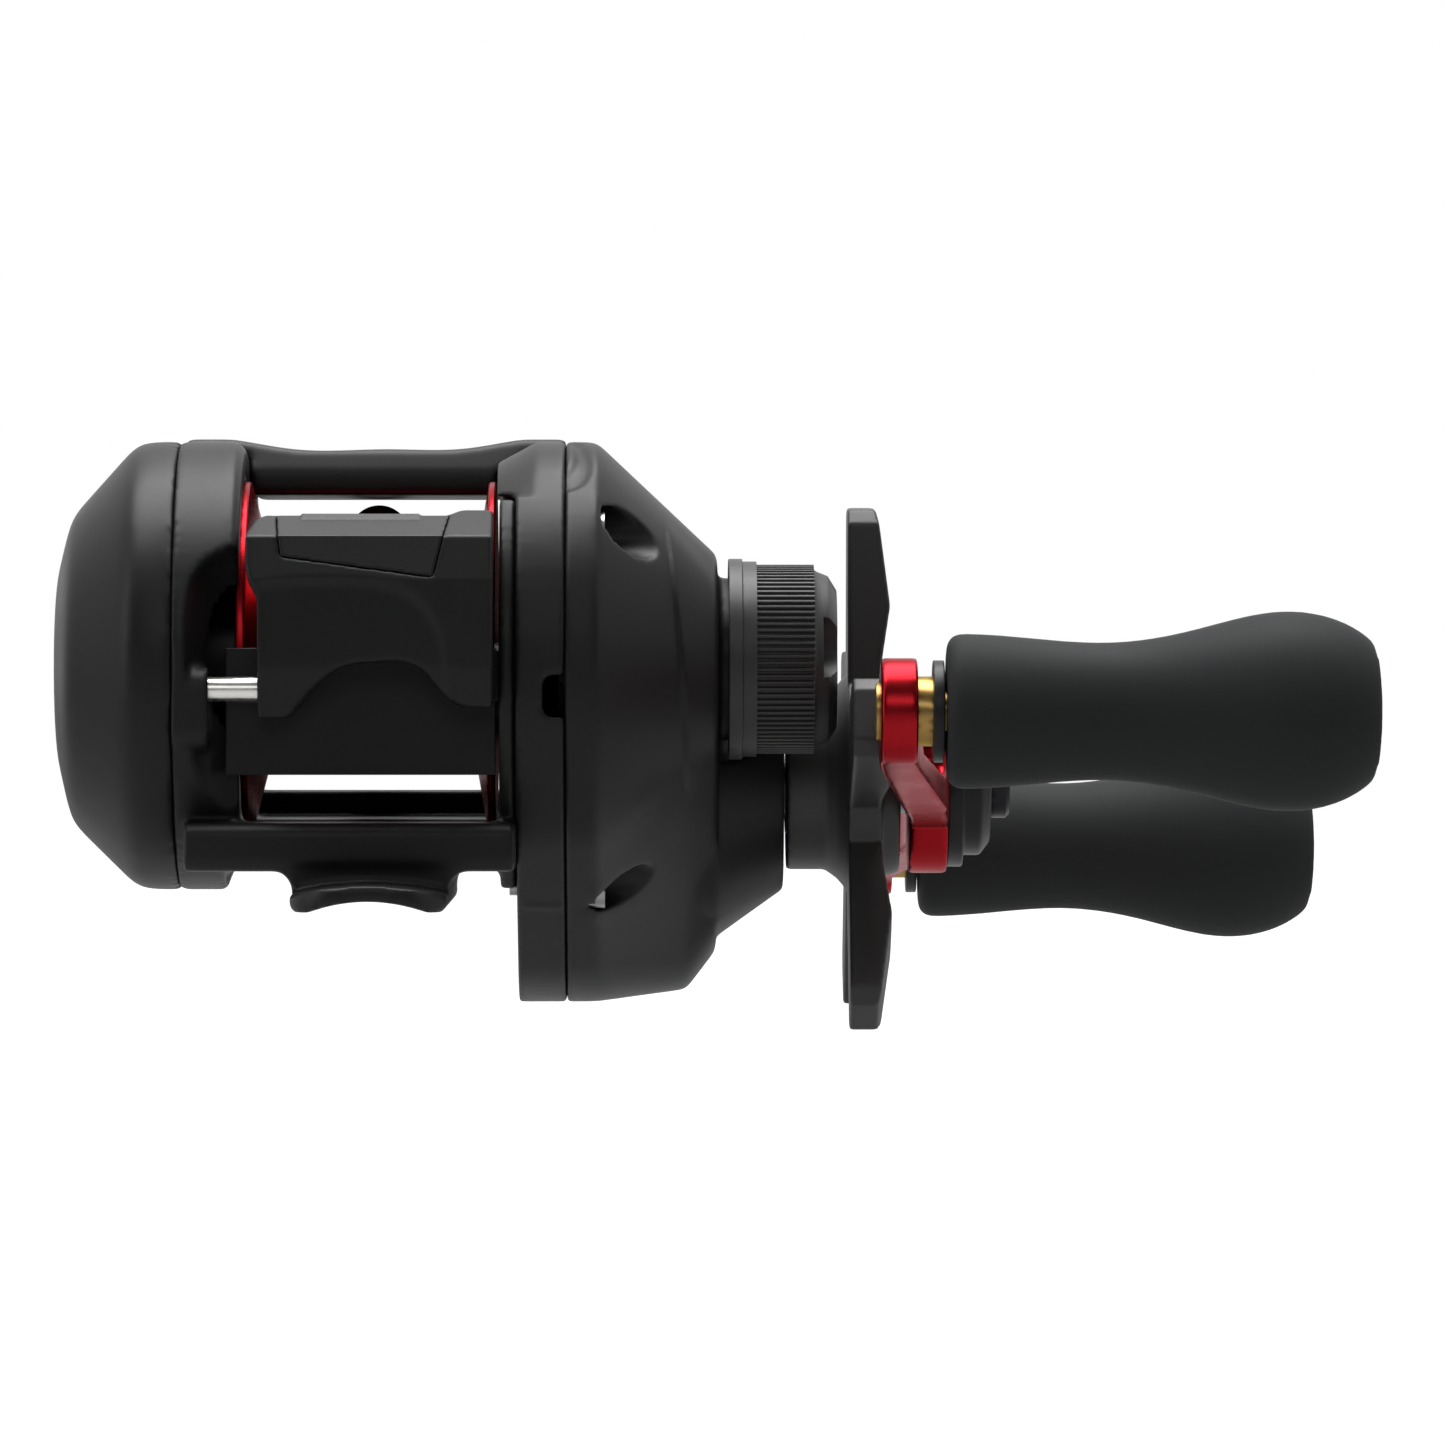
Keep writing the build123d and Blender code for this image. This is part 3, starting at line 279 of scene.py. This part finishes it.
def relax(mesh, rounds, weight=None):
    """Moves every vertex towards the middle of its neighbours, more where the weight is higher."""
    points, count = points_of(mesh), len(mesh.vertices)
    ends = np.empty(len(mesh.edges) * 2, dtype=np.int64)
    mesh.edges.foreach_get("vertices", ends)
    a, b = ends[::2], ends[1::2]
    neighbours = np.maximum(np.bincount(ends, minlength=count), 1)[:, None]
    share = 0.5 if weight is None else 0.5 * weight(points)[:, None]
    for _ in range(rounds):
        total = np.empty_like(points)
        for k in range(3):
            total[:, k] = np.bincount(a, points[b, k], count) + np.bincount(b, points[a, k], count)
        points += share * (total / neighbours - points)
    set_points(mesh, points)


def smooth_step(value, low, high):
    """Rises smoothly from 0 at low to 1 at high."""
    t = np.clip((value - low) / (high - low), 0, 1)
    return t * t * (3 - 2 * t)


def away(points, axis, radius, fade):
    """0 within a radius of an axis along X, rising to 1 beyond it."""
    distance = np.hypot(points[:, 1] - axis[0], points[:, 2] - axis[1])
    return smooth_step(distance, radius, radius + fade)


def moulded(node, voxel, rounds, faces, broad=0, weight=None, shape=None):
    """A soft-edged piece in place of a CAD node.

    It is remeshed in voxels of some millimetres, eased all over for some rounds, and thinned to about so many
    faces. Before that it may be eased for broad rounds where the weight says, and bent by the shape function.
    """
    mesh = through(nodes[node].data.copy(), ("WELD", {"merge_threshold": WELD_DISTANCE}),
                   ("REMESH", {"mode": "VOXEL", "voxel_size": voxel * MM}))
    if broad:
        relax(mesh, broad, weight)
    if shape:
        set_points(mesh, shape(points_of(mesh)))
    relax(mesh, rounds)
    mesh = through(mesh, ("DECIMATE", {"ratio": min(1.0, faces / (FACES_PER_QUAD * len(mesh.polygons)))}))
    mesh.polygons.foreach_set("use_smooth", [True] * len(mesh.polygons))
    piece = bpy.data.objects.new(node + "_shell", mesh)
    bpy.context.scene.collection.objects.link(piece)
    paint(piece, slot_of[node])
    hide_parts(node)
    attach(piece, body_of[node])


# ---- where and how each moulding is eased, in millimetres ----------------------------------
SCREW_RECESS, SPOOL_BOSS, DRIVE_BOSS = (2.8, 1.6), (7.6, 1.5), (14.9, 1.2)     # radius kept, and fade
OUTER_FACE = (27.5, 29.5)                       # x where the gear cover turns into its outer face
CRESCENT_DEPTH, CRESCENT_SIZE = 0.4, 2.6
CRESCENT_Z, CRESCENT_REAR = 40.6, -3            # its height, and the y behind which it is pressed
CREASE_Z = [2.7, 9.6, 20.2, 23.0, 30.6, 35.8]
CREASE_X = [28.35, 28.7, 28.17, 28.0, 27.25, 26.6]
SHOULDER_HEIGHT, SHOULDER_TOP, SHOULDER_REAR = 0.5, (36.6, 37.4), (-8.0, -5.0)
SHOULDER_CLEAR = (16.5, 1.0)                    # radius and fade about the drive shaft
BAR_SKIRT = (22.6, 24.2)                        # z where the thumb bar's broad easing ends
BAR_DISH, BAR_DISH_POWER = 0.45, 3.2
BAR_MIDDLE, BAR_HALF = (-4.0, 18.6), (11.2, 11.6)   # x and z
BAR_REAR, BAR_LEFT = (-20.9, -20.2), (-10.4, -9.4)
GRIP_LINES, GRIP_DEPTH, GRIP_HALF_LENGTH, GRIP_MIDDLE = (1.1, 2.2), 0.22, 6.0, -1.0
PAD_TOP = 1.2                                   # depth of the pad's top face
ARM_CAD = ([13.5, 36.5], [51.5, 47.65])         # the arm's middle in x against its reach from the shaft
ARM_SWEEP = ([9.0, 12.0, 34.0, 37.5], [51.5, 51.25, 48.0, 47.65])
ARM_FULLER = 1.07


def palm_weight(points):
    """Eases the palm cover's dome, and leaves its seam."""
    return smooth_step(-points[:, 0], -SEAM_LEFT + 1.2, -SEAM_LEFT + 3.0)


def cover_weight(points):
    """Eases the gear cover's flanks, and leaves its seam, recesses and bosses."""
    weight = smooth_step(points[:, 0], SEAM_RIGHT + 0.8, SEAM_RIGHT + 2.4)
    for screw in COVER_SCREWS:
        weight = weight * away(points, screw, *SCREW_RECESS)
    bosses = np.minimum(away(points, SPOOL, *SPOOL_BOSS), away(points, DRIVE, *DRIVE_BOSS))
    outer = smooth_step(points[:, 0], *OUTER_FACE)
    return weight * (1 - outer * (1 - bosses))


def cover_shape(points):
    """A shallow crescent pressed in the cover's top beside its seam, and a raised outer shoulder."""
    x, y, z = points.T
    inside = np.hypot((x - SEAM_RIGHT) / CRESCENT_SIZE, (z - CRESCENT_Z) / CRESCENT_SIZE)
    inside = 1 - smooth_step(inside, 0.75, 1.05)
    outside = smooth_step(np.hypot((x - SEAM_RIGHT + 0.9) / 2.2, (z - 41.6) / 2.4), 0.7, 1.0)
    crescent = CRESCENT_DEPTH * inside * outside * (y < CRESCENT_REAR) * (x > SEAM_RIGHT)
    crease = np.interp(z, CREASE_Z, CREASE_X)
    top = 1 - smooth_step(z + 0.9 * np.abs(x - crease - 1.6), *SHOULDER_TOP)
    shoulder = SHOULDER_HEIGHT * smooth_step(x, crease - 0.15, crease + 0.5)
    shoulder = shoulder * top * (1 - smooth_step(y, *SHOULDER_REAR))
    shoulder = shoulder * away(points, DRIVE, *SHOULDER_CLEAR)
    points[:, 1] += crescent * 0.5 - shoulder
    points[:, 2] -= crescent
    return points


def bar_shape(points):
    """The thumb bar's middle is dished a little inside a soft ridge."""
    x, y, z = points.T
    across = np.abs((x - BAR_MIDDLE[0]) / BAR_HALF[0]) ** BAR_DISH_POWER
    up = np.abs((z - BAR_MIDDLE[1]) / BAR_HALF[1]) ** BAR_DISH_POWER
    dish = 1 - smooth_step((across + up) ** (1 / BAR_DISH_POWER), 0.92, 1.02)
    rear = 1 - smooth_step(y, *BAR_REAR)
    points[:, 1] += BAR_DISH * rear * dish * smooth_step(x, *BAR_LEFT)
    return points


def pad_shape(points):
    """Two grip lines cut along the pad's top face."""
    x, y, z = points.T
    rear = y.min()
    for line in GRIP_LINES:
        groove = 1 - smooth_step(np.abs(y - rear - line), 0.1, 0.3)
        along = np.abs(x - GRIP_MIDDLE) < GRIP_HALF_LENGTH
        points[:, 2] -= GRIP_DEPTH * groove * along * (z > z.max() - PAD_TOP)
    return points


def arm_shape(points):
    """Starts the arm's inward sweep closer to its hub, and makes up for the easing of its thickness."""
    reach = np.hypot(points[:, 1] - DRIVE[0], points[:, 2] - DRIVE[1])
    points[:, 0] = np.interp(reach, *ARM_SWEEP) + (points[:, 0] - np.interp(reach, *ARM_CAD)) * ARM_FULLER
    return points


def low_edge(points):
    """Eases the thumb bar's lower half only."""
    return 1 - smooth_step(points[:, 2], *BAR_SKIRT)


# ---- pieces --------------------------------------------------------------------------------


moulded("palm_side_cover", 0.40, 4, 26000, broad=34, weight=palm_weight)
moulded("gear_cover", 0.24, 5, 60000, broad=24, weight=cover_weight, shape=cover_shape)
moulded("gear_side_plate", 0.30, 3, 30000)
moulded("reel_frame", 0.30, 5, 52000)
moulded("top_hood", 0.25, 14, 16000)
moulded("clutch_bar", 0.20, 7, 22000, broad=10, weight=low_edge, shape=bar_shape)
moulded("clutch_bar_pad", 0.14, 3, 14000, shape=pad_shape)
moulded("handle_arm", 0.20, 10, 44000, shape=arm_shape)
moulded("star_drag", 0.20, 5, 44000)
for side in ("near", "far"):
    moulded(f"knob_grip_{side}", 0.35, 10, 12000)

EDGE = 0.12                 # how far a CAD node's edges are broken, in millimetres
EDGES = {"cast_control_cap": 0.05, "drive_gear": 0.03, "pinion_gear": 0.03, "worm_gear": 0.03,
         "level_wind_drive_gear": 0.03, "nut_retainer": 0.25, "handle_nut": 0.2, "spool": 0.2}
for name, node in nodes.items():
    paint(node, slot_of[name])
    rounded_edges(node, EDGES.get(name, EDGE) * MM)


# ---- camera, lights, floor: metres and watts ------------------------------------------------
EYE = (0.0236, -0.880, 0.01995)
AIM = (0.00963, 1.0, -0.00342)
LENS, SENSOR = 236.8, 36.0
LAMP_TARGET = (0.03, 0, 0.015)
SKY_NEAR, SKY_FAR = 0.07, 1.0
SKY_RISE = (-0.5, 0.7)              # from the near to the far side
FLOOR_RADIUS, FLOOR_HEIGHT = 6.0, -0.075
FLOOR_GLOW, FLOOR_SEEN = 0.10, 0.95     # as a light, and as the backdrop


def camera():
    """Level view from behind the reel, 0.88 m away."""
    data = bpy.data.cameras.new("camera")
    data.sensor_width = SENSOR
    data.lens = LENS
    data.clip_start = 0.01
    data.clip_end = 50.0
    eye = bpy.data.objects.new("camera", data)
    bpy.context.scene.collection.objects.link(eye)
    eye.location = EYE
    eye.rotation_euler = Vector(AIM).to_track_quat("-Z", "Y").to_euler()
    bpy.context.scene.camera = eye


def lamp(name, size, power, place):
    """Softbox turned to the reel."""
    data = bpy.data.lights.new(name, "AREA")
    data.shape = "RECTANGLE"
    data.size, data.size_y = size
    data.energy = power
    light = bpy.data.objects.new(name, data)
    bpy.context.scene.collection.objects.link(light)
    light.location = place
    light.rotation_euler = (Vector(LAMP_TARGET) - Vector(place)).to_track_quat("-Z", "Y").to_euler()


def sky():
    """White backdrop; as a light it is bright at the far side of the reel and dim at the near side."""
    world = bpy.data.worlds.new("studio")
    world.use_nodes = True
    tree = world.node_tree
    background = tree.nodes["Background"]
    background.inputs["Color"].default_value = (1, 1, 1, 1)
    where = tree.nodes.new("ShaderNodeTexCoord")
    split = tree.nodes.new("ShaderNodeSeparateXYZ")
    ramp = tree.nodes.new("ShaderNodeMapRange")
    ramp.inputs["From Min"].default_value, ramp.inputs["From Max"].default_value = SKY_RISE
    ramp.inputs["To Min"].default_value = SKY_NEAR
    ramp.inputs["To Max"].default_value = SKY_FAR
    path = tree.nodes.new("ShaderNodeLightPath")
    pick = tree.nodes.new("ShaderNodeMix")
    pick.inputs["B"].default_value = 1.0
    tree.links.new(where.outputs["Generated"], split.inputs[0])
    tree.links.new(split.outputs["Y"], ramp.inputs["Value"])
    tree.links.new(path.outputs["Is Camera Ray"], pick.inputs["Factor"])
    tree.links.new(ramp.outputs["Result"], pick.inputs["A"])
    tree.links.new(pick.outputs["Result"], background.inputs["Strength"])
    bpy.context.scene.world = world


def pale_floor():
    """Pale disc below the reel."""
    bpy.ops.mesh.primitive_circle_add(vertices=96, radius=FLOOR_RADIUS, fill_type="NGON",
                                      location=(0, 0, FLOOR_HEIGHT))
    floor = bpy.context.object
    floor.name = "floor"
    made, tree, shader = new_material("pale floor", (0.3, 0.3, 0.3), 0.9)
    shader.inputs["Emission Color"].default_value = (1, 1, 1, 1)
    path = tree.nodes.new("ShaderNodeLightPath")
    ramp = tree.nodes.new("ShaderNodeMapRange")
    ramp.inputs["To Min"].default_value = FLOOR_GLOW
    ramp.inputs["To Max"].default_value = FLOOR_SEEN
    tree.links.new(path.outputs["Is Camera Ray"], ramp.inputs["Value"])
    tree.links.new(ramp.outputs["Result"], shader.inputs["Emission Strength"])
    floor.data.materials.append(made)


camera()
sky()
pale_floor()
lamp("top softbox", (0.9, 0.6), 14.0, (0.0, 0.10, 0.8))
lamp("left softbox", (0.3, 0.8), 1.9, (-0.9, -0.3, 0.3))
lamp("right softbox", (0.3, 0.8), 0.8, (1.0, -0.3, 0.3))
lamp("front card", (0.5, 0.3), 0.9, (0.05, -1.0, 0.45))
bpy.context.scene.view_settings.view_transform = "Standard"
